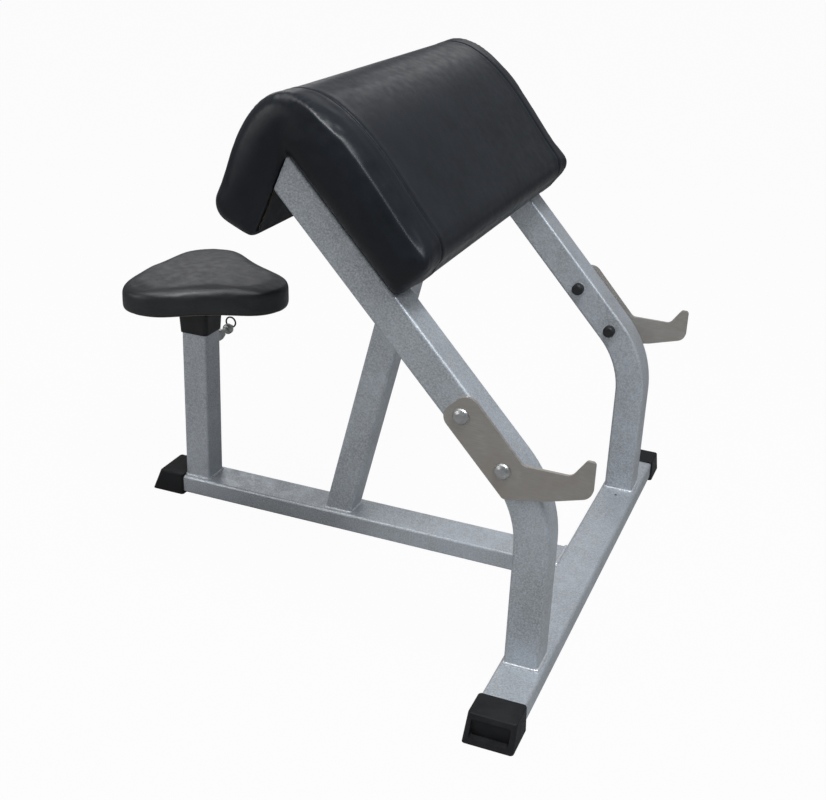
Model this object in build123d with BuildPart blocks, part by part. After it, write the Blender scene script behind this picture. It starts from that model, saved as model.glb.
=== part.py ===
from build123d import *
import os
from math import cos, radians, sin

# Preacher curl bench. Millimetres. +X is the way the sitter faces, +Y the sitter's left, +Z up.
# The origin is on the floor under the middle of the bench.

# Base tubes
base_w = 76.0
base_h = 38.0
base_wall = 2.5
base_r = 5.0
foot_lift = 4.0
base_top = foot_lift + base_h
base_mid = foot_lift + base_h / 2
front_x = 458.0
cross_x = front_x - base_w / 2
cross_back = front_x - base_w
cross_half = 512.0
behind_post = 0.3
vent_d = 6.0
vent_in = 26.0

# Foot caps
cap_grip = 46.0
cap_side_low = 5.0
cap_side_top = 3.0
cap_top = 4.0
cap_nose_low = 27.0
cap_nose_top = 9.0
cap_r = 6.0
cap_edge_r = 2.5
cap_panel_side = 5.0
cap_panel_edge = 4.5
cap_panel_r = 4.0
cap_panel_sunk = 2.5

# Bent uprights
upright = 60.0
upright_wall = 3.0
upright_r = 6.0
upright_inset = 169.0
upright_x = 418.0
bend_r = 195.0
slope = 47.0

# Post and brace tube
tube = 55.0
tube_wall = 2.5
tube_r = 5.0
brace_lean = 77.0
brace_foot_x = -82.5
crossbar_s = 165.0

# Seat post
post_x = -406.2
post_top = 408.0
collar_low = 364.0
collar_high = 416.0
collar_side = 3.0
collar_flare = 3.0
sleeve_low = 352.0

# Sliding seat tube
slide_tube = 45.0
slide_wall = 2.5
slide_r = 4.0
slide_bottom = 100.0
running = 0.1
pitch = 25.0
steps = 7
pin_z = 330.0
pin_hole = 10.2

# Seat
seat_under = 438.0
seat_top = 496.0
seat_crown_r = 1700.0
seat_edge_r = 15.0
seat_low_r = 7.0
seat_behind = 102.8
seat_ahead = 189.2
seat_crown_ahead = 30.0
seat_crown_reach = 400.0
seat_plate_t = 4.0
seat_plate_l = 150.0
seat_plate_w = 96.0
seat_bolt_l = 112.0
seat_bolt_w = 64.0
board_t = 12.0
board_edge = 9.0
soft_gap = 0.3

# Arm pad, measured from the inner corner under its ridge
ridge_x = -14.0
ridge_z = 848.0
pad_thick = 94.0
crown_thick = 95.0
flap_thick = 87.0
pad_bulge = 4.5
front_len = 272.0
flap_len = 155.0
flap_angle = 68.0
pad_over = 18.0
seam_in = 69.0
seam_w = 2.4
seam_deep = 2.0
rim_r = 24.0
corner_r = 26.0
heel_r = 34.0
under_r = 7.0
under_bevel = 13.0
arm_board_t = 15.0
arm_board_end = 16.0
arm_board_side = 27.0
arm_board_start = 22.0

# Hooks and their bolts
hook_t = 6.0
hook_top_s = 454.0
hook_low_z = 350.0
hook_floor_z = 414.5
hook_front = 510.2
hook_horn_z = 446.0
hook_bolt_s = (478.0, 586.0)
hook_lip = 6.0
hook_horn_w = 14.0
hook_mouth_w = 36.0
hook_nose_h = 34.0
hook_belly = (74.0, 12.0)
hook_heel = 143.0
hook_shoulder_r = 22.0
hook_horn_r = 6.0
hook_nose_r = 20.0
hook_floor_r = 13.0
hook_heel_r = 8.0
bolt_d = 12.0
bolt_clear = 0.25
bolt_head_d = 27.0
bolt_head_h = 7.0
nut_af = 19.0
nut_h = 10.0
washer_d = 24.0
washer_t = 2.5
nut_cap_d = 24.0
nut_cap_h = 15.0

# Pad fixings
pad_bolt_top = 70.0
pad_bolt_toe = 44.0
pad_bolt_d = 8.0
pad_bolt_af = 13.0
pad_bolt_head = 5.5
tee_flange_d = 22.0
tee_flange_t = 1.5
tee_barrel_d = 10.0
tee_barrel_l = 9.0
bracket_y = 150.0
bracket_w = 40.0
bracket_t = 4.0
bracket_leg = 86.0
bracket_start = 24.0
screw_d = 5.0
screw_l = 11.0
screw_head_d = 9.5
screw_head_h = 2.6
screw_s = (44.0, 70.0)

# Pull pin
pin_d = 10.0
pin_tip = 14.0
bush_d = 22.0
bush_bore = 18.0
bush_end = 62.0
flange_d = 17.6
flange_t = 3.5
gland_af = 22.0
gland_end = 74.0
gland_spigot = 6.0
knob_d = 22.0
knob_start = 98.0
knob_end = 112.0
knob_r = 5.0
knob_grip = 6.0
eye_t = 4.0
eye_h = 10.0
eye_y = 117.0
eye_hole = 4.8
ring_r = 11.0
ring_wire = 1.7
ring_tilt = 90.0
coil_wire = 1.4
coil_r = 6.9
coil_turns = 6

# Larger than the bench, for shapes that only cut
beyond = 1500.0

os.makedirs("parts", exist_ok=True)

# Directions of the slope and of the rear flap, in X and Z
dx, dz = cos(radians(slope)), -sin(radians(slope))
nx, nz = sin(radians(slope)), cos(radians(slope))
ex, ez = -cos(radians(flap_angle)), -sin(radians(flap_angle))
mx, mz = -sin(radians(flap_angle)), cos(radians(flap_angle))
upright_y = cross_half - upright_inset
y_sides = (upright_y, -upright_y)
upright_out = upright_y + upright / 2
upright_in = upright_y - upright / 2
pad_half = upright_out + pad_over
seam_y = pad_half - seam_in
pad_bolt_s = (pad_bolt_top, front_len - pad_bolt_toe)
spine_back = post_x - tube / 2 - behind_post - cap_grip


def on_slope(s, n):
    return (ridge_x + s * dx + n * nx, ridge_z + s * dz + n * nz)


def on_flap(s, n):
    return (ridge_x + s * ex + n * mx, ridge_z + s * ez + n * mz)


def slope_plane(s, y, n):
    px, pz = on_slope(s, n)
    return Plane(origin=(px, y, pz), x_dir=(0, 1, 0), z_dir=(nx, 0, nz))


def flap_plane(s, y, n):
    px, pz = on_flap(s, n)
    return Plane(origin=(px, y, pz), x_dir=(0, 1, 0), z_dir=(mx, 0, mz))


def facing_y(x, y, z, way):
    return Plane(origin=(x, y, z), x_dir=(1, 0, 0), z_dir=(0, way, 0))


def side_plane(y):
    return facing_y(0, y, 0, -1)


def hollow(wide, high, corner, wall):
    RectangleRounded(wide, high, corner)
    RectangleRounded(wide - 2 * wall, high - 2 * wall, corner - wall, mode=Mode.SUBTRACT)


# Cross tube on the floor at the front
with BuildPart() as cross_tube:
    with BuildSketch(facing_y(cross_x, -cross_half, base_mid, 1)):
        hollow(base_w, base_h, base_r, base_wall)
    extrude(amount=2 * cross_half)
    with BuildSketch(Plane.XY.offset(base_mid)):
        with Locations((cross_x, upright_in - vent_in), (cross_x, vent_in - upright_in)):
            Circle(vent_d / 2)
    extrude(amount=base_h, mode=Mode.SUBTRACT)
cross_tube.part.label = "cross_tube"
export_step(cross_tube.part, "parts/cross_tube.step")

# Spine tube from the cross tube back to the rear foot
with BuildPart() as spine_tube:
    with BuildSketch(Plane(origin=(spine_back, 0, base_mid), x_dir=(0, 1, 0), z_dir=(1, 0, 0))):
        hollow(base_w, base_h, base_r, base_wall)
    extrude(amount=cross_back - spine_back)
spine_tube.part.label = "spine_tube"
export_step(spine_tube.part, "parts/spine_tube.step")

# Foot caps: a socket over the tube end, flared to the floor, with a sunk panel on the nose
cap_places = (
    ("foot_cap_left", Plane(origin=(cross_x, cross_half, 0), x_dir=(1, 0, 0), z_dir=(0, 0, 1)), 1),
    ("foot_cap_right", Plane(origin=(cross_x, -cross_half, 0), x_dir=(1, 0, 0), z_dir=(0, 0, 1)), -1),
    ("foot_cap_rear", Plane(origin=(spine_back, 0, 0), x_dir=(0, 1, 0), z_dir=(0, 0, 1)), 1),
)
for cap_name, cap_plane, cap_way in cap_places:
    low_mid = cap_way * (cap_nose_low - cap_grip) / 2
    top_mid = cap_way * (cap_nose_top - cap_grip) / 2
    socket_plane = Plane(origin=cap_plane.from_local_coords((0, -cap_way * cap_grip, base_mid)),
                         x_dir=cap_plane.x_dir, z_dir=cap_plane.y_dir * cap_way)
    with BuildPart() as foot_cap:
        with BuildSketch(cap_plane):
            with Locations((0, low_mid)):
                RectangleRounded(base_w + 2 * cap_side_low, cap_grip + cap_nose_low, cap_r)
        with BuildSketch(cap_plane.offset(base_top + cap_top)):
            with Locations((0, top_mid)):
                RectangleRounded(base_w + 2 * cap_side_top, cap_grip + cap_nose_top, cap_r)
        loft()
        fillet(foot_cap.faces().sort_by(Axis.Z)[-1].edges(), cap_edge_r)
        with BuildSketch(socket_plane):
            RectangleRounded(base_w, base_h, base_r)
        extrude(amount=cap_grip, mode=Mode.SUBTRACT)
        with BuildSketch(socket_plane.offset(cap_grip + cap_nose_top + cap_panel_sunk)):
            RectangleRounded(base_w - 2 * cap_panel_side, base_h - 2 * cap_panel_edge, cap_panel_r)
        extrude(amount=cap_nose_low, mode=Mode.SUBTRACT)
    foot_cap.part.label = cap_name
    export_step(foot_cap.part, "parts/" + cap_name + ".step")

# Bent uprights, cut at the top to lie against the rear flap
bend_s = (upright_x - ridge_x + upright / 2 * nx) / dx
bend_z = on_slope(bend_s, -upright / 2)[1]
tip_x, tip_z = on_slope(-1.5 * upright, -upright / 2)
for side, side_name in ((1, "upright_left"), (-1, "upright_right")):
    y = side * upright_y
    with BuildPart() as bent_upright:
        with BuildLine():
            FilletPolyline((upright_x, y, base_top), (upright_x, y, bend_z), (tip_x, y, tip_z),
                           radius=bend_r)
        with BuildSketch(Plane(origin=(upright_x, y, base_top), x_dir=(1, 0, 0), z_dir=(0, 0, 1))):
            hollow(upright, upright, upright_r, upright_wall)
        sweep()
        with BuildSketch(flap_plane(0, y, 0)):
            Rectangle(2 * upright, beyond)
        extrude(amount=beyond, mode=Mode.SUBTRACT)
        for s in hook_bolt_s:
            px, pz = on_slope(s, -upright / 2)
            with BuildSketch(facing_y(px, y, pz, side)):
                Circle(bolt_d / 2 + bolt_clear)
            extrude(amount=upright, both=True, mode=Mode.SUBTRACT)
        for s in pad_bolt_s:
            with BuildSketch(slope_plane(s, y, -upright / 2)):
                Circle(pad_bolt_d / 2 + bolt_clear)
            extrude(amount=upright, both=True, mode=Mode.SUBTRACT)
    bent_upright.part.label = side_name
    export_step(bent_upright.part, "parts/" + side_name + ".step")

# Crossbar between the uprights, under the pad
with BuildPart() as crossbar:
    with BuildSketch(Plane(origin=(on_slope(crossbar_s, -base_h / 2)[0], -upright_in,
                                   on_slope(crossbar_s, -base_h / 2)[1]),
                           x_dir=(dx, 0, dz), z_dir=(0, 1, 0))):
        hollow(base_w, base_h, base_r, base_wall)
    extrude(amount=2 * upright_in)
crossbar.part.label = "crossbar"
export_step(crossbar.part, "parts/crossbar.step")

# Brace from the spine up to the crossbar
lean_x, lean_z = cos(radians(brace_lean)), sin(radians(brace_lean))
with BuildPart() as brace:
    with BuildSketch(Plane(origin=(brace_foot_x - tube * lean_x, 0, base_top - tube * lean_z),
                           x_dir=(0, 1, 0), z_dir=(lean_x, 0, lean_z))):
        hollow(tube, tube, tube_r, tube_wall)
    extrude(amount=beyond)
    with BuildSketch(Plane.XY.offset(base_top)):
        with Locations((brace_foot_x, 0)):
            Rectangle(beyond, beyond)
    extrude(amount=-beyond, mode=Mode.SUBTRACT)
    with BuildSketch(slope_plane(crossbar_s, 0, -base_h)):
        Rectangle(beyond, 2 * beyond)
    extrude(amount=beyond, mode=Mode.SUBTRACT)
brace.part.label = "brace"
export_step(brace.part, "parts/brace.step")

# Seat post
with BuildPart() as seat_post:
    with BuildSketch(Plane.XY.offset(base_top)):
        with Locations((post_x, 0)):
            hollow(tube, tube, tube_r, tube_wall)
    extrude(amount=post_top - base_top)
    with BuildSketch(facing_y(post_x, tube / 2 - tube_wall - 1, pin_z, 1)):
        Circle(pin_hole / 2)
    extrude(amount=tube_wall + 2, mode=Mode.SUBTRACT)
seat_post.part.label = "seat_post"
export_step(seat_post.part, "parts/seat_post.step")

# Plastic collar over the post, with a sleeve that guides the seat tube
bore_side = slide_tube + 2 * running
collar_under = tube + 2 * collar_side
collar_rim = collar_under + 2 * collar_flare
with BuildPart() as post_collar:
    with BuildSketch(Plane.XY.offset(collar_low)):
        with Locations((post_x, 0)):
            RectangleRounded(collar_under, collar_under, tube_r + collar_side)
    with BuildSketch(Plane.XY.offset(collar_high)):
        with Locations((post_x, 0)):
            RectangleRounded(collar_rim, collar_rim, tube_r + collar_side + 1)
    loft()
    fillet(post_collar.faces().sort_by(Axis.Z)[-1].edges(), 2)
    with BuildSketch(Plane.XY.offset(collar_low)):
        with Locations((post_x, 0)):
            RectangleRounded(tube, tube, tube_r)
    extrude(amount=post_top - collar_low, mode=Mode.SUBTRACT)
    with BuildSketch(Plane.XY.offset(sleeve_low)):
        with Locations((post_x, 0)):
            RectangleRounded(tube - 2 * tube_wall, tube - 2 * tube_wall, tube_r - tube_wall)
    extrude(amount=post_top - sleeve_low)
    with BuildSketch(Plane.XY.offset(sleeve_low - 1)):
        with Locations((post_x, 0)):
            RectangleRounded(bore_side, bore_side, slide_r + running)
    extrude(amount=collar_high - sleeve_low + 2, mode=Mode.SUBTRACT)
post_collar.part.label = "post_collar"
export_step(post_collar.part, "parts/post_collar.step")

# Seat tube with a row of holes for the pin
plate_low = seat_under - seat_plate_t
with BuildPart() as seat_tube:
    with BuildSketch(Plane.XY.offset(slide_bottom)):
        with Locations((post_x, 0)):
            hollow(slide_tube, slide_tube, slide_r, slide_wall)
    extrude(amount=plate_low - slide_bottom)
    for i in range(steps):
        with BuildSketch(Plane(origin=(post_x, slide_tube / 2 - slide_wall - 1, pin_z - i * pitch),
                               x_dir=(1, 0, 0), z_dir=(0, 1, 0))):
            Circle(pin_hole / 2)
        extrude(amount=slide_wall + 2, mode=Mode.SUBTRACT)
seat_tube.part.label = "seat_tube"
export_step(seat_tube.part, "parts/seat_tube.step")

# Plate on top of the seat tube
seat_bolt_spots = [(post_x + a * seat_bolt_l / 2, b * seat_bolt_w / 2) for a in (1, -1) for b in (1, -1)]
with BuildPart() as seat_plate:
    with BuildSketch(Plane.XY.offset(plate_low)):
        with Locations((post_x, 0)):
            RectangleRounded(seat_plate_l, seat_plate_w, 8)
        with Locations(*seat_bolt_spots):
            Circle(pad_bolt_d / 2 + bolt_clear, mode=Mode.SUBTRACT)
    extrude(amount=seat_plate_t)
seat_plate.part.label = "seat_plate"
export_step(seat_plate.part, "parts/seat_plate.step")

# Outline of the seat: two rear lobes and a nose, drawn in between them
seat_half = ((2 - seat_behind, 60), (-95.8, 112), (-77.8, 146), (-38.8, 162), (3.2, 155), (35.2, 133),
             (64.2, 110), (98.2, 89), (134.2, 73), (163.2, 56), (182.2, 31))
seat_outline = [(-seat_behind, 0)] + list(seat_half) + [(seat_ahead, 0)]
seat_outline = seat_outline + [(px, -py) for px, py in reversed(seat_half)]
seat_outline = [(post_x + px, py) for px, py in seat_outline]


def drawn_in(points, by):
    out = []
    for i, (px, py) in enumerate(points):
        before, after = points[i - 1], points[(i + 1) % len(points)]
        tx, ty = after[0] - before[0], after[1] - before[1]
        size = (tx * tx + ty * ty) ** 0.5
        out.append((px + by * ty / size, py - by * tx / size))
    return out


# Seat board, let into the underside of the cushion
with BuildPart() as seat_board:
    with BuildSketch(Plane.XY.offset(seat_under)):
        with BuildLine():
            Spline(*drawn_in(seat_outline, board_edge), periodic=True)
        make_face()
        with Locations(*seat_bolt_spots):
            Circle(tee_barrel_d / 2, mode=Mode.SUBTRACT)
    extrude(amount=board_t)
    with BuildSketch(Plane.XY.offset(seat_under + board_t)):
        with Locations(*seat_bolt_spots):
            Circle(tee_flange_d / 2)
    extrude(amount=-tee_flange_t, mode=Mode.SUBTRACT)
seat_board.part.label = "seat_board"
export_step(seat_board.part, "parts/seat_board.step")

# Seat cushion with a crowned top and rounded rims
with BuildPart() as seat_pad:
    with BuildSketch(Plane.XY.offset(seat_under)):
        with BuildLine():
            Spline(*seat_outline, periodic=True)
        make_face()
    extrude(amount=seat_top - seat_under + seat_edge_r)
    half_reach = seat_crown_reach / 2
    rim_z = seat_top - seat_crown_reach ** 2 / (2 * seat_crown_r)
    half_z = seat_top - half_reach ** 2 / (2 * seat_crown_r)
    with BuildSketch(facing_y(post_x + seat_crown_ahead, 0, 0, -1)) as dome:
        with BuildLine():
            Line((0, 0), (seat_crown_reach, 0))
            Line((seat_crown_reach, 0), (seat_crown_reach, rim_z))
            ThreePointArc((seat_crown_reach, rim_z), (half_reach, half_z), (0, seat_top))
            Line((0, seat_top), (0, 0))
        make_face()
    revolve(axis=Axis((post_x + seat_crown_ahead, 0, 0), (0, 0, 1)), mode=Mode.INTERSECT)
    fillet(seat_pad.faces().sort_by(Axis.Z)[-1].edges(), seat_edge_r)
    fillet(seat_pad.faces().sort_by(Axis.Z)[0].edges(), seat_low_r)
    with BuildSketch(Plane.XY.offset(seat_under)):
        with BuildLine():
            Spline(*drawn_in(seat_outline, board_edge - soft_gap), periodic=True)
        make_face()
    extrude(amount=board_t + soft_gap, mode=Mode.SUBTRACT)
seat_pad.part.label = "seat_pad"
export_step(seat_pad.part, "parts/seat_pad.step")

# Tee nuts and bolts of the seat
with BuildPart() as seat_tee_nuts:
    with BuildSketch(Plane.XY.offset(seat_under + board_t)):
        with Locations(*seat_bolt_spots):
            Circle(tee_flange_d / 2)
            Circle(pad_bolt_d / 2, mode=Mode.SUBTRACT)
    extrude(amount=-tee_flange_t)
    with BuildSketch(Plane.XY.offset(seat_under + board_t - tee_flange_t)):
        with Locations(*seat_bolt_spots):
            Circle(tee_barrel_d / 2)
            Circle(pad_bolt_d / 2, mode=Mode.SUBTRACT)
    extrude(amount=-tee_barrel_l)
seat_tee_nuts.part.label = "seat_tee_nuts"
export_step(seat_tee_nuts.part, "parts/seat_tee_nuts.step")

with BuildPart() as seat_bolts:
    with BuildSketch(Plane.XY.offset(plate_low)):
        with Locations(*seat_bolt_spots):
            RegularPolygon(pad_bolt_af / 2, 6, major_radius=False)
    extrude(amount=-pad_bolt_head)
    with BuildSketch(Plane.XY.offset(plate_low)):
        with Locations(*seat_bolt_spots):
            Circle(pad_bolt_d / 2)
    extrude(amount=seat_plate_t + board_t - 1)
seat_bolts.part.label = "seat_bolts"
export_step(seat_bolts.part, "parts/seat_bolts.step")

# Outline of the arm pad's side, drawn in by a stated amount
corner_x = ridge_x + soft_gap * (nx + mx) / (1 + nx * mx + nz * mz)
corner_z = ridge_z + soft_gap * (nz + mz) / (1 + nx * mx + nz * mz)
crown = radians((180 - slope + flap_angle) / 2)


def pad_outline(by, under):
    front, top, flap = pad_thick - by, crown_thick - by, flap_thick - by
    front_low = on_slope(front_len - by, under)
    front_high = on_slope(front_len - by, front)
    flap_low = on_flap(flap_len - by, under)
    flap_high = on_flap(flap_len - by, flap)
    Spline(front_high, on_slope(front_len / 2, front + pad_bulge), on_slope(0, front),
           (ridge_x + top * cos(crown), ridge_z + top * sin(crown)), on_flap(0, flap),
           on_flap(flap_len / 2, flap + pad_bulge / 2), flap_high)
    Line(flap_high, flap_low)
    if under > 0:
        Polyline(flap_low, (corner_x, corner_z), front_low)
    else:
        Line(flap_low, front_low)
    Line(front_low, front_high)


# Arm pad boards, let into the underside of the cushion
board_y = pad_half - arm_board_side
front_board_l = front_len - arm_board_end - arm_board_start
flap_board_l = flap_len - arm_board_end - arm_board_start
pad_bolt_spots = [(s, y) for s in pad_bolt_s for y in y_sides]
bracket_spots = [(s, k * bracket_y) for s in screw_s for k in (1, -1)]
with BuildPart() as arm_board:
    with BuildSketch(slope_plane(arm_board_start + front_board_l / 2, 0, 0)):
        Rectangle(2 * board_y, front_board_l)
    extrude(amount=arm_board_t)
    for s, y in pad_bolt_spots:
        with BuildSketch(slope_plane(s, y, 0)):
            Circle(tee_barrel_d / 2)
        extrude(amount=arm_board_t, mode=Mode.SUBTRACT)
        with BuildSketch(slope_plane(s, y, arm_board_t)):
            Circle(tee_flange_d / 2)
        extrude(amount=-tee_flange_t, mode=Mode.SUBTRACT)
    for s, y in bracket_spots:
        with BuildSketch(slope_plane(s, y, 0)):
            Circle(screw_d / 2)
        extrude(amount=screw_l, mode=Mode.SUBTRACT)
arm_board.part.label = "arm_board"
export_step(arm_board.part, "parts/arm_board.step")

with BuildPart() as flap_board:
    with BuildSketch(flap_plane(arm_board_start + flap_board_l / 2, 0, 0)):
        Rectangle(2 * board_y, flap_board_l)
    extrude(amount=arm_board_t)
    for s, y in bracket_spots:
        with BuildSketch(flap_plane(s, y, 0)):
            Circle(screw_d / 2)
        extrude(amount=screw_l, mode=Mode.SUBTRACT)
flap_board.part.label = "flap_board"
export_step(flap_board.part, "parts/flap_board.step")

# Arm pad cushion: a thick inverted V with a round ridge, bulged faces and a sewn channel near each end
with BuildPart() as arm_pad:
    with BuildSketch(side_plane(pad_half)):
        with BuildLine():
            pad_outline(0, soft_gap)
        make_face()
    extrude(amount=2 * pad_half)
    for corner, radius in ((on_slope(front_len, pad_thick), corner_r),
                           (on_flap(flap_len, flap_thick), heel_r),
                           (on_slope(front_len, soft_gap), under_r),
                           (on_flap(flap_len, soft_gap), under_r)):
        spot = Vector(corner[0], 0, corner[1])
        fillet([e for e in arm_pad.edges().filter_by(Axis.Y) if (e.center() - spot).length < 2], radius)
    rim_edges = []
    for face in arm_pad.faces().filter_by(Axis.Y):
        for e in face.edges():
            c = e.center()
            above = (c.X - ridge_x) * nx + (c.Z - ridge_z) * nz
            behind = (c.X - ridge_x) * mx + (c.Z - ridge_z) * mz
            if max(above, behind) > 1:
                rim_edges.append(e)
    fillet(rim_edges, rim_r)
    for side in (1, -1):
        for across, run in (((0, 1, 0), (dx, 0, dz)), ((0, -1, 0), (ex, 0, ez))):
            with BuildSketch(Plane(origin=(ridge_x, 0, ridge_z), x_dir=across, z_dir=run)):
                with BuildLine():
                    Polyline((side * (pad_half - under_bevel - 1), -1), (side * (pad_half + 1), -1),
                             (side * (pad_half + 1), under_bevel + 1), close=True)
                make_face()
            extrude(amount=beyond, mode=Mode.SUBTRACT)
        with BuildSketch(side_plane(side * seam_y + seam_w / 2)):
            with Locations((ridge_x, ridge_z)):
                Rectangle(beyond, beyond)
            with BuildLine():
                pad_outline(seam_deep, -20)
            make_face(mode=Mode.SUBTRACT)
        extrude(amount=seam_w, mode=Mode.SUBTRACT)
    with BuildSketch(slope_plane(arm_board_start + front_board_l / 2, 0, -2)):
        Rectangle(2 * (board_y + soft_gap), front_board_l + 2 * soft_gap)
    extrude(amount=arm_board_t + soft_gap + 2, mode=Mode.SUBTRACT)
    with BuildSketch(flap_plane(arm_board_start + flap_board_l / 2, 0, -2)):
        Rectangle(2 * (board_y + soft_gap), flap_board_l + 2 * soft_gap)
    extrude(amount=arm_board_t + soft_gap + 2, mode=Mode.SUBTRACT)
arm_pad.part.label = "arm_pad"
export_step(arm_pad.part, "parts/arm_pad.step")

# Angle brackets inside the ridge, holding the flap board to the front board
with BuildPart() as corner_brackets:
    for k in (1, -1):
        with BuildSketch(side_plane(k * bracket_y + bracket_w / 2)):
            with BuildLine():
                Polyline(on_slope(bracket_leg, 0), on_slope(bracket_start, 0), on_flap(bracket_start, 0),
                         on_flap(bracket_leg, 0), on_flap(bracket_leg, -bracket_t),
                         on_flap(bracket_start + bracket_t, -bracket_t),
                         on_slope(bracket_start + bracket_t, -bracket_t), on_slope(bracket_leg, -bracket_t),
                         close=True)
            make_face()
        extrude(amount=bracket_w)
    for s, y in bracket_spots:
        with BuildSketch(slope_plane(s, y, -bracket_t - 1)):
            Circle(screw_d / 2)
        extrude(amount=bracket_t + 2, mode=Mode.SUBTRACT)
        with BuildSketch(flap_plane(s, y, -bracket_t - 1)):
            Circle(screw_d / 2)
        extrude(amount=bracket_t + 2, mode=Mode.SUBTRACT)
corner_brackets.part.label = "corner_brackets"
export_step(corner_brackets.part, "parts/corner_brackets.step")

with BuildPart() as bracket_screws:
    for s, y in bracket_spots:
        for plane in (slope_plane(s, y, -bracket_t), flap_plane(s, y, -bracket_t)):
            with BuildSketch(plane):
                Circle(screw_head_d / 2)
            extrude(amount=-screw_head_h)
            with BuildSketch(plane):
                Circle(screw_d / 2)
            extrude(amount=bracket_t + screw_l)
bracket_screws.part.label = "bracket_screws"
export_step(bracket_screws.part, "parts/bracket_screws.step")

# Bolts up through the uprights into tee nuts in the arm board
with BuildPart() as pad_bolts:
    for s, y in pad_bolt_spots:
        with BuildSketch(slope_plane(s, y, -upright)):
            RegularPolygon(pad_bolt_af / 2, 6, major_radius=False)
        extrude(amount=-pad_bolt_head)
        with BuildSketch(slope_plane(s, y, -upright)):
            Circle(pad_bolt_d / 2)
        extrude(amount=upright + arm_board_t - 2)
pad_bolts.part.label = "pad_bolts"
export_step(pad_bolts.part, "parts/pad_bolts.step")

with BuildPart() as pad_tee_nuts:
    for s, y in pad_bolt_spots:
        with BuildSketch(slope_plane(s, y, arm_board_t)):
            Circle(tee_flange_d / 2)
            Circle(pad_bolt_d / 2, mode=Mode.SUBTRACT)
        extrude(amount=-tee_flange_t)
        with BuildSketch(slope_plane(s, y, arm_board_t - tee_flange_t)):
            Circle(tee_barrel_d / 2)
            Circle(pad_bolt_d / 2, mode=Mode.SUBTRACT)
        extrude(amount=-tee_barrel_l)
pad_tee_nuts.part.label = "pad_tee_nuts"
export_step(pad_tee_nuts.part, "parts/pad_tee_nuts.step")

# Bar hooks: flat plates on the outer faces of the uprights
hook_inner_x = ridge_x + (ridge_z - hook_floor_z) * dx / -dz
for side, hook_name in ((1, "hook_left"), (-1, "hook_right")):
    with BuildPart() as bar_hook:
        with BuildSketch(side_plane(side * (upright_out + hook_t / 2) + hook_t / 2)) as plate:
            with BuildLine():
                Polyline(on_slope(hook_top_s, -upright), on_slope(hook_top_s, hook_lip),
                         (hook_inner_x + hook_lip, hook_floor_z),
                         (hook_front - hook_mouth_w, hook_floor_z), (hook_front - hook_horn_w, hook_horn_z),
                         (hook_front, hook_horn_z), (hook_front, hook_low_z + hook_nose_h),
                         (hook_front - hook_belly[0], hook_low_z + hook_belly[1]),
                         (hook_front - hook_heel, hook_low_z), close=True)
            make_face()
            shoulder = [v for v in plate.vertices() if v.X < hook_inner_x and v.Y > hook_floor_z + 1]
            fillet(shoulder, hook_shoulder_r)
            fillet([v for v in plate.vertices() if abs(v.Y - hook_horn_z) < 0.1], hook_horn_r)
            nose = [v for v in plate.vertices() if v.X > hook_front - 0.1 and v.Y < hook_floor_z]
            fillet(nose, hook_nose_r)
            fillet([v for v in plate.vertices() if abs(v.Y - hook_floor_z) < 0.1], hook_floor_r)
            fillet([v for v in plate.vertices() if v.Y < hook_low_z + 0.1], hook_heel_r)
        extrude(amount=hook_t)
        for s in hook_bolt_s:
            px, pz = on_slope(s, -upright / 2)
            with BuildSketch(facing_y(px, side * (upright_out - 1), pz, side)):
                Circle(bolt_d / 2 + bolt_clear)
            extrude(amount=hook_t + 2, mode=Mode.SUBTRACT)
    bar_hook.part.label = hook_name
    export_step(bar_hook.part, "parts/" + hook_name + ".step")

# Hook bolts with domed heads, washers, nuts and their caps
hook_bolt_spots = []
for side in (1, -1):
    for s in hook_bolt_s:
        hook_bolt_spots.append((side, on_slope(s, -upright / 2)[0], on_slope(s, -upright / 2)[1]))
nut_face = upright_in - washer_t

with BuildPart() as hook_bolts:
    for side, px, pz in hook_bolt_spots:
        face_y = upright_out + hook_t
        with BuildSketch(facing_y(px, side * face_y, pz, side)):
            Circle(bolt_head_d / 2)
        extrude(amount=bolt_head_h * 0.3)
        with BuildSketch(facing_y(px, side * (face_y + bolt_head_h * 0.3), pz, side)):
            Circle(bolt_head_d / 2)
        extrude(amount=bolt_head_h * 0.35, taper=40)
        with BuildSketch(facing_y(px, side * (face_y + bolt_head_h * 0.65), pz, side)):
            Circle(bolt_head_d / 2 - bolt_head_h * 0.35)
        extrude(amount=bolt_head_h * 0.35, taper=62)
        with BuildSketch(facing_y(px, side * face_y, pz, -side)):
            Circle(bolt_d / 2)
        extrude(amount=face_y - nut_face + nut_h + 2)
hook_bolts.part.label = "hook_bolts"
export_step(hook_bolts.part, "parts/hook_bolts.step")

with BuildPart() as hook_washers:
    for side, px, pz in hook_bolt_spots:
        with BuildSketch(facing_y(px, side * upright_in, pz, -side)):
            Circle(washer_d / 2)
            Circle(bolt_d / 2 + bolt_clear, mode=Mode.SUBTRACT)
        extrude(amount=washer_t)
hook_washers.part.label = "hook_washers"
export_step(hook_washers.part, "parts/hook_washers.step")

with BuildPart() as hook_nuts:
    for side, px, pz in hook_bolt_spots:
        with BuildSketch(facing_y(px, side * nut_face, pz, -side)):
            RegularPolygon(nut_af / 2, 6, major_radius=False)
            Circle(bolt_d / 2, mode=Mode.SUBTRACT)
        extrude(amount=nut_h)
hook_nuts.part.label = "hook_nuts"
export_step(hook_nuts.part, "parts/hook_nuts.step")

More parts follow.
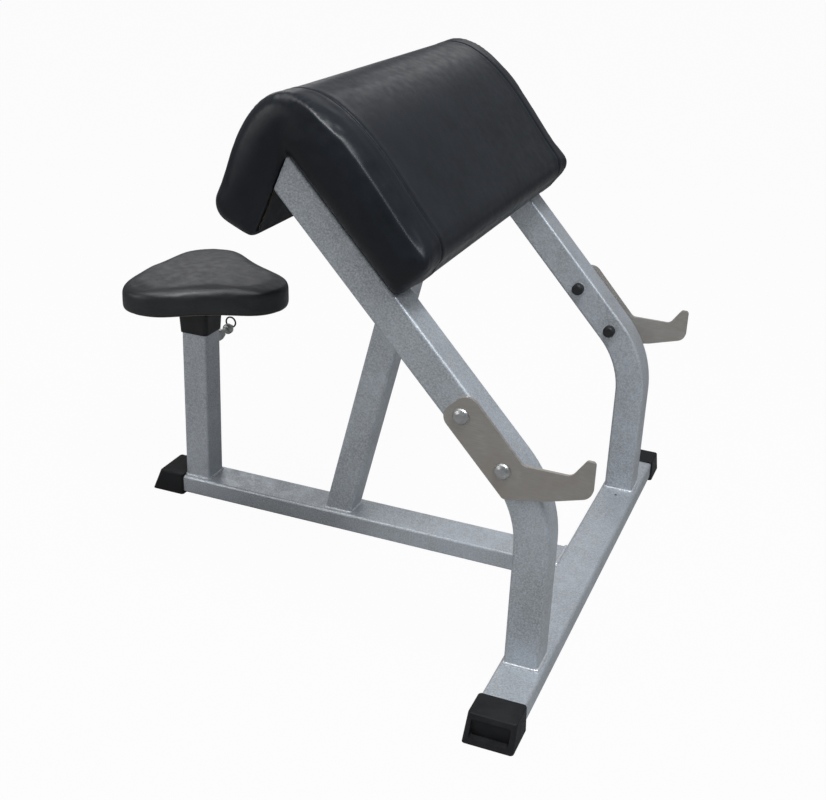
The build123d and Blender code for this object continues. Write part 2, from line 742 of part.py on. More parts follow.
with BuildPart() as nut_caps:
    for side, px, pz in hook_bolt_spots:
        cap_plane = Plane(origin=(px, side * nut_face, pz), x_dir=(-side, 0, 0), z_dir=(0, 0, 1))
        with BuildSketch(cap_plane):
            with BuildLine():
                Polyline((0, nut_cap_h), (0, nut_h + 2.5), (nut_cap_d / 2 - 1, nut_h + 2.5),
                         (nut_cap_d / 2 - 1, 0), (nut_cap_d / 2, 0), (nut_cap_d / 2, nut_cap_h - 5))
                ThreePointArc((nut_cap_d / 2, nut_cap_h - 5), (nut_cap_d / 2 - 1.5, nut_cap_h - 1.6),
                              (nut_cap_d / 2 - 6, nut_cap_h))
                Line((nut_cap_d / 2 - 6, nut_cap_h), (0, nut_cap_h))
            make_face()
        revolve(axis=Axis((px, side * nut_face, pz), (0, 1, 0)))
nut_caps.part.label = "nut_caps"
export_step(nut_caps.part, "parts/nut_caps.step")


# Pull pin on the far side of the post
def pin_plane(y):
    return facing_y(post_x, y, pin_z, 1)


with BuildPart() as pin_bush:
    with BuildSketch(pin_plane(tube / 2)):
        Circle(bush_d / 2)
        Circle(bush_bore / 2, mode=Mode.SUBTRACT)
    extrude(amount=bush_end - tube / 2)
pin_bush.part.label = "pin_bush"
export_step(pin_bush.part, "parts/pin_bush.step")

with BuildPart() as pin_gland:
    with BuildSketch(pin_plane(bush_end)):
        RegularPolygon(gland_af / 2, 6, major_radius=False)
    extrude(amount=gland_end - bush_end)
    with BuildSketch(pin_plane(bush_end - gland_spigot)):
        Circle(bush_bore / 2)
    extrude(amount=gland_spigot)
    with BuildSketch(pin_plane(bush_end - gland_spigot)):
        Circle(pin_d / 2 + running)
    extrude(amount=gland_end - bush_end + gland_spigot, mode=Mode.SUBTRACT)
pin_gland.part.label = "pin_gland"
export_step(pin_gland.part, "parts/pin_gland.step")

with BuildPart() as pull_pin:
    with BuildSketch(pin_plane(pin_tip)):
        Circle(pin_d / 2)
    extrude(amount=knob_start + knob_grip - pin_tip)
    with BuildSketch(pin_plane(tube / 2)):
        Circle(flange_d / 2)
    extrude(amount=flange_t)
    chamfer(pull_pin.edges().sort_by(Axis.Y)[0], 1)
pull_pin.part.label = "pull_pin"
export_step(pull_pin.part, "parts/pull_pin.step")

with BuildPart() as pin_knob:
    with BuildSketch(pin_plane(knob_start)):
        Circle(knob_d / 2)
    extrude(amount=knob_end - knob_start)
    fillet(pin_knob.edges().filter_by(GeomType.CIRCLE), knob_r)
    with BuildSketch(Plane(origin=(post_x - eye_t / 2, eye_y, pin_z), x_dir=(0, 1, 0), z_dir=(1, 0, 0))):
        Circle(eye_h / 2)
        with Locations((-5, 0)):
            Rectangle(10, eye_h)
        Circle(eye_hole / 2, mode=Mode.SUBTRACT)
    extrude(amount=eye_t)
    with BuildSketch(pin_plane(knob_start)):
        Circle(pin_d / 2)
    extrude(amount=knob_grip, mode=Mode.SUBTRACT)
pin_knob.part.label = "pin_knob"
export_step(pin_knob.part, "parts/pin_knob.step")

ring_cy, ring_cz = ring_r * cos(radians(ring_tilt)), ring_r * sin(radians(ring_tilt))
with BuildPart() as pull_ring:
    with BuildSketch(Plane(origin=(post_x, eye_y, pin_z), x_dir=(0, 1, 0), z_dir=(1, 0, 0))):
        Circle(ring_wire)
    revolve(axis=Axis((post_x, eye_y + ring_cy, pin_z + ring_cz), (0, -ring_cz, ring_cy)))
pull_ring.part.label = "pull_ring"
export_step(pull_ring.part, "parts/pull_ring.step")

# Spring around the pin inside the bush
coil_start = tube / 2 + flange_t + coil_wire / 2
coil_end = bush_end - gland_spigot - coil_wire / 2
with BuildPart() as pin_spring:
    with BuildLine() as coil_path:
        Helix((coil_end - coil_start) / coil_turns, coil_end - coil_start, coil_r,
              center=(post_x, coil_start, pin_z), direction=(0, 1, 0))
    with BuildSketch(Plane(origin=coil_path.line @ 0, z_dir=coil_path.line % 0)):
        Circle(coil_wire / 2)
    sweep()
pin_spring.part.label = "pin_spring"
export_step(pin_spring.part, "parts/pin_spring.step")
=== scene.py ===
import math

import bmesh
import bpy
import numpy as np
from mathutils import Matrix, Vector


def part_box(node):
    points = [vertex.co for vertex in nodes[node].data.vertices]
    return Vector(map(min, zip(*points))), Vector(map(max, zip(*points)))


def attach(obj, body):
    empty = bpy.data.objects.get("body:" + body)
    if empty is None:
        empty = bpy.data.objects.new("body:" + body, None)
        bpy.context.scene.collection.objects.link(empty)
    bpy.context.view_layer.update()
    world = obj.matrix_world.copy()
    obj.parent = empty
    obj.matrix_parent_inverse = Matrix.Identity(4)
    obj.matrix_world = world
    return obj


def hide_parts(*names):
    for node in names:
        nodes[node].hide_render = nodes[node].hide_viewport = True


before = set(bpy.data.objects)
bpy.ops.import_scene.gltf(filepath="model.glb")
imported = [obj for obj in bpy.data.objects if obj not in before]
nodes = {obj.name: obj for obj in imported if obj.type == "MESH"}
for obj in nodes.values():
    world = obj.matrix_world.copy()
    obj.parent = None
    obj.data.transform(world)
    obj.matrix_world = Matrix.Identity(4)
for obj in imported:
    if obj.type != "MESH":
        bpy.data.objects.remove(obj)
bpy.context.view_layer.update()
scene = bpy.context.scene
MM = 0.001

# Directions of the pad, from the plain sides of its boards
SLOPE = math.radians(47.0)
FLAP = math.radians(68.0)
RIDGE = Vector((-0.014, 0.0, 0.848))
DOWN_SLOPE = Vector((math.cos(SLOPE), 0.0, -math.sin(SLOPE)))
OFF_SLOPE = Vector((math.sin(SLOPE), 0.0, math.cos(SLOPE)))
DOWN_FLAP = Vector((-math.cos(FLAP), 0.0, -math.sin(FLAP)))
OFF_FLAP = Vector((-math.sin(FLAP), 0.0, math.cos(FLAP)))
PAD_HALF = 391 * MM
SEAM_Y = 322 * MM

# Bolts of the hooks, by their distance down the slope and under it
BOLTS_ALONG = (478 * MM, 586 * MM)
BOLTS_UNDER = 30 * MM
DOME_HEIGHT = 7 * MM
DOME_RADIUS = 13.5 * MM
DOME_CROWN = 0.86
DOME_RINGS = 12
DOME_SEGMENTS = 48

# Skin of the cushions: how far the cloth may puff out, the sewn channel, the ruffle and the crisp rim
ARM_VOXEL = 5 * MM
ARM_UNDER = 20 * MM
ARM_PRESSURE = 3.0
ARM_PUFF = 3.5 * MM
ARM_SMOOTHING = 12
SEAT_VOXEL = 4 * MM
SEAT_UNDER = 14 * MM
SEAT_PRESSURE = 2.0
SEAT_PUFF = 1.5 * MM
SEAT_SMOOTHING = 9
CLOTH_FRAMES = 20
CHANNEL_DEPTH = 2.6 * MM
CHANNEL_WIDTH = 2.2 * MM
SWELL_HEIGHT = 0.7 * MM
SWELL_AWAY = 9 * MM
SWELL_WIDTH = 8 * MM
RIM_PUSH = 3.5 * MM
RIM_REACH = 34 * MM
RIM_BLEND = 10 * MM
RUFFLE_HEIGHT = 0.35 * MM
RUFFLE_WAVES = 46
RUFFLE_AWAY = 14 * MM
RUFFLE_WIDTH = 9 * MM

# Cloth under the pad boards, by its first and last distance down each board
BACKING_SLOPE = (18 * MM, 262 * MM)
BACKING_FLAP = (18 * MM, 145 * MM)
BACKING_EDGE = 20 * MM
BACKING_CELL = 6 * MM
BACKING_COLUMNS = 120
BACKING_LIFT = 0.45 * MM
BACKING_FRAY = 0.35 * MM

# Welds, and the tubes they run around
BEAD_SIZE = 3.4 * MM
BEAD_CORNER = 5 * MM
BEAD_STEP = 1.6 * MM
BEAD_SIDES = 10
UPRIGHT_HALF = 30 * MM
UPRIGHT_IN = 36 * MM
SPINE_HALF = 38 * MM
BRACE_HALF = 27.5 * MM
BRACE_LEAN = math.radians(77.0)
BRACE_FOOT_X = -82.5 * MM

# Stage: the floor, and each lamp by its name, place, size, watts and colour
FLOOR_REACH = 30.0
FLOOR_ALBEDO = (0.32, 0.32, 0.32, 1)
FLOOR_GLOW_SHARE = 0.965
AMBIENT_TINT = (0.93, 0.96, 1.0, 1)
AMBIENT_STRENGTH = 0.255
LAMP_TARGET = (0, 0, 0.5)
LAMPS = (
    ("key", (1.1, -0.8, 3.3), (0.9, 0.9), 76, (0.95, 0.975, 1.0)),
    ("rim", (2.0, -1.6, 2.9), (0.35, 0.35), 22, (0.86, 0.93, 1.0)),
    ("top", (-0.9, -0.4, 3.0), (1.6, 1.6), 25, (1, 1, 1)),
    ("side", (-2.4, -2.6, 1.5), (1.6, 1.4), 22, (1, 1, 1)),
    ("back", (-0.35, 2.8, 2.2), (1.0, 1.0), 3, (1, 1, 1)),
    ("far", (-2.2, 2.8, 2.0), (1.2, 1.0), 5.5, (1, 1, 1)),
)

# The photograph's camera, in metres, degrees and pixels of the 826 by 800 frame
IMAGE_W, IMAGE_H = 826, 800
SENSOR = 36.0
CAMERA_PLACE = Vector((0.8517, -2.0115, 1.2807))
CAMERA_YAW = math.radians(17.954)
CAMERA_PITCH = math.radians(22.479)
CAMERA_ROLL = math.radians(3.856)
FOCAL_PX = 1225.7
AXIS_PX = (484.5, 364.9)


def make_camera():
    data = bpy.data.cameras.new("photo_camera")
    camera = bpy.data.objects.new("photo_camera", data)
    scene.collection.objects.link(camera)
    flat = math.cos(CAMERA_PITCH)
    ahead = Vector((-math.sin(CAMERA_YAW) * flat, math.cos(CAMERA_YAW) * flat, -math.sin(CAMERA_PITCH)))
    level = ahead.cross(Vector((0, 0, 1))).normalized()
    above = level.cross(ahead)
    right = math.cos(CAMERA_ROLL) * level + math.sin(CAMERA_ROLL) * above
    up = math.cos(CAMERA_ROLL) * above - math.sin(CAMERA_ROLL) * level
    turn = Matrix((right, up, -ahead)).transposed().to_4x4()
    camera.matrix_world = Matrix.Translation(CAMERA_PLACE) @ turn
    data.sensor_width = SENSOR
    data.lens = FOCAL_PX / IMAGE_W * SENSOR
    data.shift_x = (IMAGE_W / 2 - AXIS_PX[0]) / IMAGE_W
    data.shift_y = (AXIS_PX[1] - IMAGE_H / 2) / IMAGE_W
    scene.camera = camera


class Look:
    """A material under construction: one Principled shader and helpers that feed it."""

    def __init__(self, name, rough, metal=0.0):
        self.mat = bpy.data.materials.new(name)
        self.mat.use_nodes = True
        self.tree = self.mat.node_tree
        self.shader = self.tree.nodes["Principled BSDF"]
        self.shader.inputs["Roughness"].default_value = rough
        self.shader.inputs["Metallic"].default_value = metal
        self.place = self.tree.nodes.new("ShaderNodeTexCoord").outputs["Object"]
        self.height = None

    def link(self, a, b):
        self.tree.links.new(a, b)

    def noise(self, scale, detail=3.0, rough=0.55, stretch=(1, 1, 1)):
        mapping = self.tree.nodes.new("ShaderNodeMapping")
        mapping.inputs["Scale"].default_value = stretch
        self.link(self.place, mapping.inputs["Vector"])
        node = self.tree.nodes.new("ShaderNodeTexNoise")
        node.inputs["Scale"].default_value = scale
        node.inputs["Detail"].default_value = detail
        node.inputs["Roughness"].default_value = rough
        self.link(mapping.outputs["Vector"], node.inputs["Vector"])
        return node.outputs["Fac"]

    def cells(self, scale, feature="F1"):
        node = self.tree.nodes.new("ShaderNodeTexVoronoi")
        node.feature = feature
        node.inputs["Scale"].default_value = scale
        self.link(self.place, node.inputs["Vector"])
        return node.outputs["Distance"]

    def ramp(self, value, low, high, start=0.3, end=0.7):
        node = self.tree.nodes.new("ShaderNodeValToRGB")
        node.color_ramp.elements[0].position = start
        node.color_ramp.elements[1].position = end
        node.color_ramp.elements[0].color = (*low, 1)
        node.color_ramp.elements[1].color = (*high, 1)
        self.link(value, node.inputs["Fac"])
        return node.outputs["Color"]

    def mix(self, share, a, b):
        node = self.tree.nodes.new("ShaderNodeMix")
        node.data_type = "RGBA"
        self._into(node.inputs["Factor"], share)
        self._into(node.inputs[6], a)
        self._into(node.inputs[7], b)
        return node.outputs[2]

    def _into(self, socket, value):
        if isinstance(value, bpy.types.NodeSocket):
            self.link(value, socket)
        elif isinstance(value, tuple):
            socket.default_value = (*value, 1)
        else:
            socket.default_value = value

    def span(self, value, low, high, start=0.3, end=0.7):
        node = self.tree.nodes.new("ShaderNodeMapRange")
        node.inputs["From Min"].default_value = start
        node.inputs["From Max"].default_value = end
        node.inputs["To Min"].default_value = low
        node.inputs["To Max"].default_value = high
        self.link(value, node.inputs["Value"])
        return node.outputs["Result"]

    def color(self, value):
        self.link(value, self.shader.inputs["Base Color"])

    def roughness(self, value):
        self.link(value, self.shader.inputs["Roughness"])

    def bump(self, value, strength, distance):
        node = self.tree.nodes.new("ShaderNodeBump")
        node.inputs["Strength"].default_value = strength
        node.inputs["Distance"].default_value = distance
        self.link(value, node.inputs["Height"])
        if self.height is not None:
            self.link(self.height, node.inputs["Normal"])
        self.height = node.outputs["Normal"]
        self.link(self.height, self.shader.inputs["Normal"])


def silver_paint():
    look = Look("silver_paint", 0.42, 0.6)
    cloud = look.noise(7, 4, 0.6)
    patch = look.noise(38, 5, 0.65)
    grain = look.noise(340, 3, 0.75)
    broad = look.ramp(cloud, (0.30, 0.325, 0.35), (0.50, 0.545, 0.60), 0.36, 0.64)
    worn = look.mix(look.span(patch, 0.0, 0.6), broad, (0.33, 0.335, 0.325))
    look.color(look.mix(look.span(grain, 0.0, 0.8, 0.35, 0.65), worn, (0.70, 0.73, 0.77)))
    look.roughness(look.span(patch, 0.34, 0.54))
    look.bump(look.noise(260, 3), 0.3, 0.3 * MM)
    look.bump(look.noise(900, 2), 0.2, 0.2 * MM)
    return look.mat


def bare_steel():
    look = Look("bare_steel", 0.45, 0.7)
    brushed = look.noise(60, 4, 0.6, (1, 1, 9))
    stain = look.noise(22, 4, 0.6)
    plain = look.ramp(brushed, (0.36, 0.34, 0.31), (0.49, 0.475, 0.45))
    look.color(look.mix(look.span(stain, 0.0, 0.9), plain, (0.39, 0.35, 0.31)))
    look.roughness(look.span(brushed, 0.34, 0.56))
    look.bump(brushed, 0.15, 0.15 * MM)
    look.bump(look.noise(500, 2), 0.15, 0.15 * MM)
    return look.mat


def bright_steel():
    look = Look("bright_steel", 0.2, 1.0)
    look.color(look.ramp(look.noise(90, 3), (0.42, 0.425, 0.42), (0.56, 0.565, 0.56)))
    look.roughness(look.span(look.noise(240, 3), 0.34, 0.46))
    look.bump(look.noise(160, 2), 0.08, 0.1 * MM)
    return look.mat


def dark_wire():
    look = Look("dark_wire", 0.4, 0.8)
    look.color(look.ramp(look.noise(120, 3), (0.03, 0.03, 0.032), (0.07, 0.07, 0.072)))
    look.roughness(look.span(look.noise(260, 3), 0.3, 0.5))
    look.bump(look.noise(300, 2), 0.1, 0.1 * MM)
    return look.mat


def zinc_steel():
    look = Look("zinc_steel", 0.34, 0.9)
    look.color(look.ramp(look.cells(130), (0.42, 0.43, 0.44), (0.58, 0.59, 0.60), 0.1, 0.9))
    look.roughness(look.span(look.noise(150, 3), 0.26, 0.46))
    look.bump(look.noise(300, 2), 0.1, 0.1 * MM)
    return look.mat


def black_rubber():
    look = Look("black_rubber", 0.6)
    look.shader.inputs["Specular IOR Level"].default_value = 0.28
    dust = look.noise(35, 4)
    look.color(look.ramp(dust, (0.006, 0.006, 0.007), (0.014, 0.014, 0.015)))
    look.roughness(look.span(dust, 0.5, 0.72))
    look.bump(look.noise(900, 2), 0.3, 0.2 * MM)
    return look.mat


def black_plastic():
    look = Look("black_plastic", 0.45)
    look.shader.inputs["Specular IOR Level"].default_value = 0.35
    wear = look.noise(50, 3)
    look.color(look.ramp(wear, (0.010, 0.010, 0.011), (0.020, 0.020, 0.022)))
    look.roughness(look.span(wear, 0.36, 0.54))
    look.bump(look.cells(1100), 0.2, 0.12 * MM)
    return look.mat


def vinyl(name, low, high, rough, shine):
    look = Look(name, rough)
    look.shader.inputs["Specular IOR Level"].default_value = shine
    cloud = look.noise(14, 4)
    look.color(look.ramp(cloud, low, high))
    look.roughness(look.span(look.noise(60, 3), rough - 0.05, rough + 0.07))
    look.bump(look.noise(9, 3), 0.2, 2 * MM)
    look.bump(look.cells(620), 0.35, 0.2 * MM)
    look.bump(look.noise(1500, 2), 0.15, 0.1 * MM)
    return look.mat


def plywood():
    look = Look("plywood", 0.6)
    grain = look.noise(30, 5, 0.6, (1, 0.12, 1))
    look.color(look.ramp(grain, (0.30, 0.21, 0.12), (0.46, 0.35, 0.22)))
    look.bump(grain, 0.3, 0.3 * MM)
    return look.mat


def weld_metal():
    look = Look("weld_metal", 0.4, 0.5)
    look.color(look.ramp(look.noise(160, 3), (0.46, 0.47, 0.49), (0.74, 0.75, 0.77)))
    look.bump(look.noise(420, 3), 0.3, 0.3 * MM)
    return look.mat


SILVER = silver_paint()
BARE = bare_steel()
BRIGHT = bright_steel()
WIRE = dark_wire()
ZINC = zinc_steel()
RUBBER = black_rubber()
PLASTIC = black_plastic()
PAD_VINYL = vinyl("pad_vinyl", (0.006, 0.0075, 0.010), (0.010, 0.012, 0.016), 0.36, 0.28)
SEAT_VINYL = vinyl("seat_vinyl", (0.005, 0.0055, 0.007), (0.012, 0.0125, 0.014), 0.42, 0.62)
BACKING = vinyl("backing", (0.007, 0.007, 0.008), (0.012, 0.012, 0.013), 0.6, 0.25)
PLY = plywood()
WELD = weld_metal()

LOOKS = {
    SILVER: ("cross_tube", "spine_tube", "upright_left", "upright_right", "crossbar", "brace", "seat_post",
             "seat_plate"),
    BARE: ("hook_left", "hook_right"),
    BRIGHT: ("hook_bolts", "pin_bush", "pin_gland", "pull_pin", "pin_knob"),
    WIRE: ("pull_ring",),
    ZINC: ("hook_washers", "hook_nuts", "corner_brackets", "bracket_screws", "pad_bolts", "pad_tee_nuts",
           "seat_tube", "seat_bolts", "seat_tee_nuts", "pin_spring"),
    RUBBER: ("foot_cap_left", "foot_cap_right", "foot_cap_rear"),
    PLASTIC: ("post_collar", "nut_caps"),
    PLY: ("arm_board", "flap_board", "seat_board"),
}


def paint(obj, material):
    obj.data.materials.clear()
    obj.data.materials.append(material)


def dress_frame():
    for material, names in LOOKS.items():
        for name in names:
            paint(nodes[name], material)
    for name in ("arm_pad", "seat_pad"):
        paint(nodes[name], PAD_VINYL)


def new_piece(name, mesh, material, body):
    piece = bpy.data.objects.new(name, mesh)
    scene.collection.objects.link(piece)
    paint(piece, material)
    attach(piece, body)
    return piece


def mesh_from(bm, name):
    """A smooth-shaded mesh from the faces drawn so far, which are then let go."""
    mesh = bpy.data.meshes.new(name)
    bm.to_mesh(mesh)
    bm.free()
    mesh.shade_smooth()
    return mesh


def points_of(mesh):
    flat = np.empty(len(mesh.vertices) * 3, np.float32)
    mesh.vertices.foreach_get("co", flat)
    return flat.reshape(-1, 3).astype(float)


def normals_of(mesh):
    flat = np.empty(len(mesh.vertices) * 3, np.float32)
    mesh.vertex_normals.foreach_get("vector", flat)
    return flat.reshape(-1, 3).astype(float)


def set_points(mesh, points):
    mesh.vertices.foreach_set("co", points.astype(np.float32).ravel())
    mesh.update()


def evaluated(obj):
    return bpy.data.meshes.new_from_object(obj.evaluated_get(bpy.context.evaluated_depsgraph_get()))


def applied(obj, kind, **settings):
    """Adds one modifier, bakes it into the mesh and removes it."""
    modifier = obj.modifiers.new(kind.lower(), kind)
    for key, value in settings.items():
        setattr(modifier, key, value)
    mesh = evaluated(obj)
    obj.modifiers.clear()
    old = obj.data
    obj.data = mesh
    bpy.data.meshes.remove(old)


def puffed(obj, fixed, pressure, most):
    """Blows the closed mesh up a little as cloth, with the fixed points pinned and each move capped."""
    start = points_of(obj.data)
    pins = obj.vertex_groups.new(name="pins")
    pins.add([int(i) for i in np.nonzero(fixed)[0]], 1.0, "ADD")
    modifier = obj.modifiers.new("puff", "CLOTH")
    cloth = modifier.settings
    cloth.quality = 4
    cloth.mass = 0.3
    cloth.use_pressure = True
    cloth.uniform_pressure_force = pressure
    cloth.tension_stiffness = 20
    cloth.compression_stiffness = 20
    cloth.shear_stiffness = 8
    cloth.bending_stiffness = 2.0
    cloth.vertex_group_mass = "pins"
    cloth.effector_weights.gravity = 0
    modifier.point_cache.frame_start = 1
    modifier.point_cache.frame_end = CLOTH_FRAMES
    for number in range(1, CLOTH_FRAMES + 1):
        scene.frame_set(number)
    mesh = evaluated(obj)
    moved = points_of(mesh) - start
    bpy.data.meshes.remove(mesh)
    scene.frame_set(1)
    obj.modifiers.clear()
    obj.vertex_groups.clear()
    size = np.linalg.norm(moved, axis=1, keepdims=True)
    moved *= np.minimum(1.0, most / np.maximum(size, 1e-9))
    set_points(obj.data, start + moved)


def cushion_from(node, name, voxel):
    mesh = nodes[node].data.copy()
    obj = bpy.data.objects.new(name, mesh)
    scene.collection.objects.link(obj)
    applied(obj, "REMESH", mode="VOXEL", voxel_size=voxel, adaptivity=0.0)
    return obj


def pad_coordinates(points):
    """Distances off the slope's board and off the flap's board, for every point of the arm pad."""
    rel = points - np.array(RIDGE)
    return rel @ np.array(OFF_SLOPE), rel @ np.array(OFF_FLAP)


def smooth_step(value, low, high):
    t = np.clip((value - low) / (high - low), 0, 1)
    return t * t * (3 - 2 * t)


def bell(distance, width):
    return np.exp(-((distance / width) ** 2))


def arm_pad_relief(pad):
    """Outward move of each point: sewn channels, a crisp rim and a slight ruffle at the ridge."""
    points = points_of(pad.data)
    outward = normals_of(pad.data)
    n, m = pad_coordinates(points)
    across = np.abs(points[:, 1])
    endward = np.abs(outward[:, 1])
    off_boards = smooth_step(np.maximum(n, m), 14 * MM, 30 * MM)
    not_on_ends = smooth_step(1 - endward, 0.05, 0.3)
    over_slope = smooth_step(n, 60 * MM, 80 * MM)
    angle = np.arctan2(points[:, 2] - RIDGE.z, points[:, 0] - RIDGE.x)
    near_ridge = smooth_step(angle, 0.9, 1.3) * (1 - smooth_step(angle, 2.2, 2.7))
    gap = across - SEAM_Y
    groove = -CHANNEL_DEPTH * bell(gap, CHANNEL_WIDTH)
    swell = SWELL_HEIGHT * bell(np.abs(gap) - SWELL_AWAY, SWELL_WIDTH)
    corner = (2 * endward * np.sqrt(np.maximum(0, 1 - outward[:, 1] ** 2))) ** 4
    crisp = RIM_PUSH * corner * smooth_step(across, PAD_HALF - RIM_REACH, PAD_HALF - RIM_REACH + RIM_BLEND)
    crisp *= over_slope
    ruffle = np.sin(angle * RUFFLE_WAVES + 3 * np.sin(angle * 5))
    ruffle *= bell(across - PAD_HALF + RUFFLE_AWAY, RUFFLE_WIDTH)
    ruffle *= near_ridge * RUFFLE_HEIGHT
    return points + outward * ((groove + swell) * off_boards * not_on_ends + ruffle + crisp)[:, None]


def finish_cushion(pad, material, body, node):
    pad.data.shade_smooth()
    paint(pad, material)
    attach(pad, body)
    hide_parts(node)


def make_arm_pad():
    pad = cushion_from("arm_pad", "arm_pad_cover", ARM_VOXEL)
    n, m = pad_coordinates(points_of(pad.data))
    puffed(pad, np.maximum(n, m) < ARM_UNDER, ARM_PRESSURE, ARM_PUFF)
    applied(pad, "SMOOTH", factor=0.5, iterations=ARM_SMOOTHING)
    applied(pad, "SUBSURF", levels=1, render_levels=1)
    set_points(pad.data, arm_pad_relief(pad))
    finish_cushion(pad, PAD_VINYL, "frame", "arm_pad")


def make_seat_pad():
    pad = cushion_from("seat_pad", "seat_cover", SEAT_VOXEL)
    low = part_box("seat_pad")[0].z
    puffed(pad, points_of(pad.data)[:, 2] < low + SEAT_UNDER, SEAT_PRESSURE, SEAT_PUFF)
    applied(pad, "SMOOTH", factor=0.5, iterations=SEAT_SMOOTHING)
    applied(pad, "SUBSURF", levels=1, render_levels=1)
    finish_cushion(pad, SEAT_VINYL, "seat", "seat_pad")


def make_backing():
    """Black cloth over the undersides of the two pad boards, with its edge lifted a little at random as
    fray.
    """
    bm = bmesh.new()
    rng = np.random.default_rng(5)
    half = PAD_HALF - BACKING_EDGE
    for down, off, reach in ((DOWN_SLOPE, OFF_SLOPE, BACKING_SLOPE), (DOWN_FLAP, OFF_FLAP, BACKING_FLAP)):
        first, last = reach
        rows = round((last - first) / BACKING_CELL)
        grid = []
        for i in range(rows + 1):
            line = []
            for j in range(BACKING_COLUMNS + 1):
                along = first + (last - first) * i / rows
                across = -half + 2 * half * j / BACKING_COLUMNS
                edge = min(i, rows - i, j, BACKING_COLUMNS - j)
                lift = BACKING_LIFT + (BACKING_FRAY * rng.random() if edge < 2 else 0)
                line.append(bm.verts.new(RIDGE + down * along - off * lift + Vector((0, across, 0))))
            grid.append(line)
        for upper, lower in zip(grid, grid[1:]):
            for j in range(BACKING_COLUMNS):
                bm.faces.new((upper[j], lower[j], lower[j + 1], upper[j + 1]))
    new_piece("pad_backing", mesh_from(bm, "pad_backing"), BACKING, "frame")


def bead_path(corners, radius, step):
    """Points along a closed run of straight sides with rounded corners, about one step apart."""
    points = []
    count = len(corners)
    for i in range(count):
        here = Vector(corners[i])
        before = (Vector(corners[i - 1]) - here).normalized()
        after = (Vector(corners[(i + 1) % count]) - here).normalized()
        for k in range(5):
            t = k / 4
            a = here + before * radius * (1 - t)
            b = here + after * radius * t
            points.append(a.lerp(b, t))
    dense = []
    for i, a in enumerate(points):
        b = points[(i + 1) % len(points)]
        parts = max(1, round((b - a).length / step))
        dense += [a.lerp(b, j / parts) for j in range(parts)]
    return dense


def weld(name, corners):
    """A rippled bead of weld metal along a closed run of straight sides."""
    path = bead_path(corners, BEAD_CORNER, BEAD_STEP)
    count = len(path)
    rng = np.random.default_rng(len(name) * 7 + 3)
    wander = rng.normal(0, 0.09, count)
    bm = bmesh.new()
    rings = []
    for i, p in enumerate(path):
        ahead = (path[(i + 1) % count] - path[i - 1]).normalized()
        side = ahead.orthogonal().normalized()
        other = ahead.cross(side)
        ripple = 0.86 + 0.16 * abs(math.sin(i * math.pi / 3.0)) + wander[i] * 0.5
        ring = []
        for k in range(BEAD_SIDES):
            a = 2 * math.pi * k / BEAD_SIDES
            ring.append(bm.verts.new(p + (side * math.cos(a) + other * math.sin(a)) * BEAD_SIZE * ripple))
        rings.append(ring)
    for i in range(count):
        first, second = rings[i], rings[(i + 1) % count]
        turn = min(range(BEAD_SIDES), key=lambda k: (first[0].co - second[k].co).length)
        second = second[turn:] + second[:turn]
        for k in range(BEAD_SIDES):
            j = (k + 1) % BEAD_SIDES
            bm.faces.new((first[k], first[j], second[j], second[k]))
    bmesh.ops.recalc_face_normals(bm, faces=bm.faces)
    new_piece(name, mesh_from(bm, name), WELD, "frame")


def rectangle(centre, a, b):
    centre, a, b = Vector(centre), Vector(a), Vector(b)
    return [centre - a - b, centre + a - b, centre + a + b, centre - a + b]


def make_welds():
    cross_low, cross_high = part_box("cross_tube")
    top = cross_high.z
    for name in ("upright_left", "upright_right"):
        low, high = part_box(name)
        centre = (cross_low.x + UPRIGHT_IN, (low.y + high.y) / 2, top)
        weld("weld_" + name, rectangle(centre, (UPRIGHT_HALF, 0, 0), (0, UPRIGHT_HALF, 0)))
    low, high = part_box("seat_post")
    centre = ((low.x + high.x) / 2, 0, low.z)
    half = (high.x - low.x) / 2
    weld("weld_post", rectangle(centre, (half, 0, 0), (0, half, 0)))
    low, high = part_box("spine_tube")
    centre = (cross_low.x, 0, (low.z + high.z) / 2)
    weld("weld_spine", rectangle(centre, (0, SPINE_HALF, 0), (0, 0, (high.z - low.z) / 2)))
    centre = (BRACE_FOOT_X, 0, top)
    slant = BRACE_HALF / math.sin(BRACE_LEAN)
    weld("weld_brace_foot", rectangle(centre, (slant, 0, 0), (0, BRACE_HALF, 0)))


def dome_profile():
    """Radius and height of each ring of a dome, from its rim to just short of its tip."""
    crown = DOME_HEIGHT * DOME_CROWN
    sphere = (DOME_RADIUS ** 2 + crown ** 2) / (2 * crown)
    profile = [(DOME_RADIUS, 0.0)]
    for k in range(DOME_RINGS):
        r = DOME_RADIUS * (1 - k / DOME_RINGS)
        profile.append((r, DOME_HEIGHT - sphere + math.sqrt(sphere ** 2 - r ** 2)))
    return profile


def add_dome(bm, spot, side, under):
    """One dome at spot, bulging to the side from the distance under."""
    rings = []
    for r, z in dome_profile():
        ring = []
        for k in range(DOME_SEGMENTS):
            a = 2 * math.pi * k / DOME_SEGMENTS
            place = (spot.x + r * math.cos(a), side * (under + z), spot.z + r * math.sin(a))
            ring.append(bm.verts.new(place))
        rings.append(ring)
    tip = bm.verts.new((spot.x, side * (under + DOME_HEIGHT), spot.z))
    for a, b in zip(rings, rings[1:]):
        for k in range(DOME_SEGMENTS):
            j = (k + 1) % DOME_SEGMENTS
            bm.faces.new((a[k], a[j], b[j], b[k]))
    for k in range(DOME_SEGMENTS):
        bm.faces.new((rings[-1][k], rings[-1][(k + 1) % DOME_SEGMENTS], tip))
    bm.faces.new(rings[0])


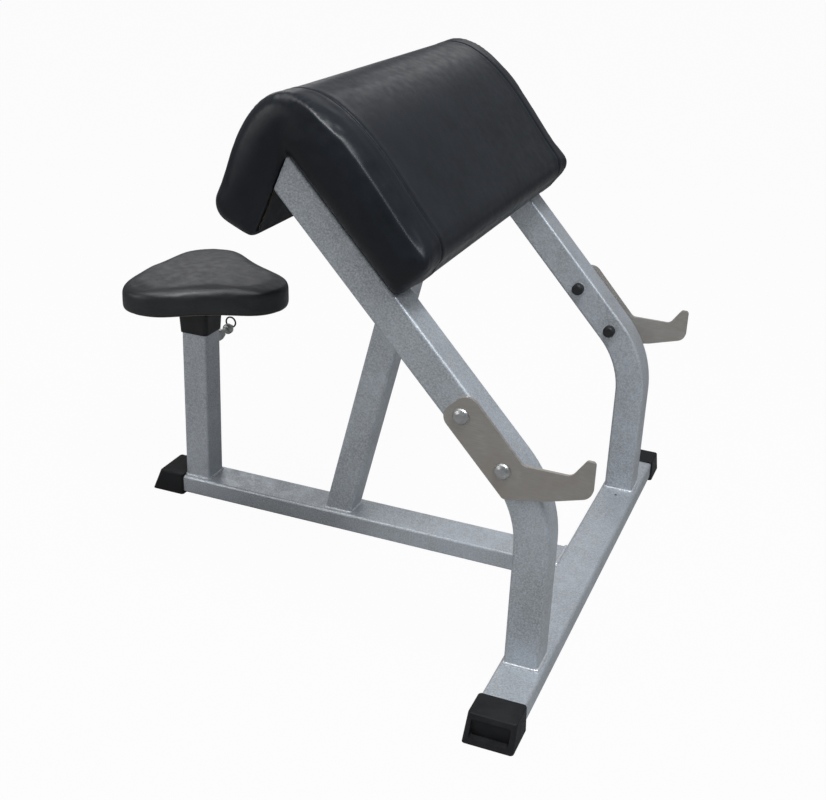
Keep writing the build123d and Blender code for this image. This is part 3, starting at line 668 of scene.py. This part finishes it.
def make_bolt_heads():
    """Smooth domes over the plain heads of the hook bolts."""
    bm = bmesh.new()
    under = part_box("hook_bolts")[1].y - DOME_HEIGHT
    for side in (1, -1):
        for along in BOLTS_ALONG:
            add_dome(bm, RIDGE + DOWN_SLOPE * along - OFF_SLOPE * BOLTS_UNDER, side, under)
    bmesh.ops.recalc_face_normals(bm, faces=bm.faces)
    new_piece("bolt_domes", mesh_from(bm, "bolt_domes"), BRIGHT, "frame")


def make_stage():
    """A pale matt floor that the camera sees as almost pure white."""
    bm = bmesh.new()
    corners = ((-1, -1), (1, -1), (1, 1), (-1, 1))
    bm.faces.new([bm.verts.new((x * FLOOR_REACH, y * FLOOR_REACH, 0)) for x, y in corners])
    floor_mesh = bpy.data.meshes.new("floor")
    bm.to_mesh(floor_mesh)
    bm.free()
    floor = bpy.data.objects.new("floor", floor_mesh)
    scene.collection.objects.link(floor)
    mat = bpy.data.materials.new("floor")
    mat.use_nodes = True
    tree = mat.node_tree
    shader = tree.nodes["Principled BSDF"]
    shader.inputs["Base Color"].default_value = FLOOR_ALBEDO
    shader.inputs["Roughness"].default_value = 0.9
    glow = tree.nodes.new("ShaderNodeEmission")
    glow.inputs["Color"].default_value = (1, 1, 1, 1)
    glow.inputs["Strength"].default_value = 1.0
    path = tree.nodes.new("ShaderNodeLightPath")
    share = tree.nodes.new("ShaderNodeMath")
    share.operation = "MULTIPLY"
    share.inputs[1].default_value = FLOOR_GLOW_SHARE
    mix = tree.nodes.new("ShaderNodeMixShader")
    tree.links.new(path.outputs["Is Camera Ray"], share.inputs[0])
    tree.links.new(share.outputs[0], mix.inputs[0])
    tree.links.new(shader.outputs[0], mix.inputs[1])
    tree.links.new(glow.outputs[0], mix.inputs[2])
    tree.links.new(mix.outputs[0], tree.nodes["Material Output"].inputs["Surface"])
    paint(floor, mat)


def area_light(name, place, size, power, color):
    data = bpy.data.lights.new(name, "AREA")
    data.shape = "RECTANGLE"
    data.size, data.size_y = size
    data.energy = power
    data.color = color
    lamp = bpy.data.objects.new(name, data)
    scene.collection.objects.link(lamp)
    lamp.location = place
    aim = Vector(LAMP_TARGET) - Vector(place)
    lamp.rotation_euler = aim.to_track_quat("-Z", "Y").to_euler()


def make_light():
    world = bpy.data.worlds.new("studio")
    scene.world = world
    world.use_nodes = True
    tree = world.node_tree
    ground = tree.nodes["Background"]
    ground.inputs["Color"].default_value = AMBIENT_TINT
    ground.inputs["Strength"].default_value = AMBIENT_STRENGTH
    white = tree.nodes.new("ShaderNodeBackground")
    white.inputs["Color"].default_value = (1, 1, 1, 1)
    path = tree.nodes.new("ShaderNodeLightPath")
    mix = tree.nodes.new("ShaderNodeMixShader")
    tree.links.new(path.outputs["Is Camera Ray"], mix.inputs[0])
    tree.links.new(ground.outputs[0], mix.inputs[1])
    tree.links.new(white.outputs[0], mix.inputs[2])
    tree.links.new(mix.outputs[0], tree.nodes["World Output"].inputs["Surface"])
    for name, place, size, power, color in LAMPS:
        area_light(name, place, size, power, color)


scene.view_settings.view_transform = "Standard"
make_camera()
dress_frame()
make_arm_pad()
make_seat_pad()
make_backing()
make_welds()
make_bolt_heads()
make_stage()
make_light()
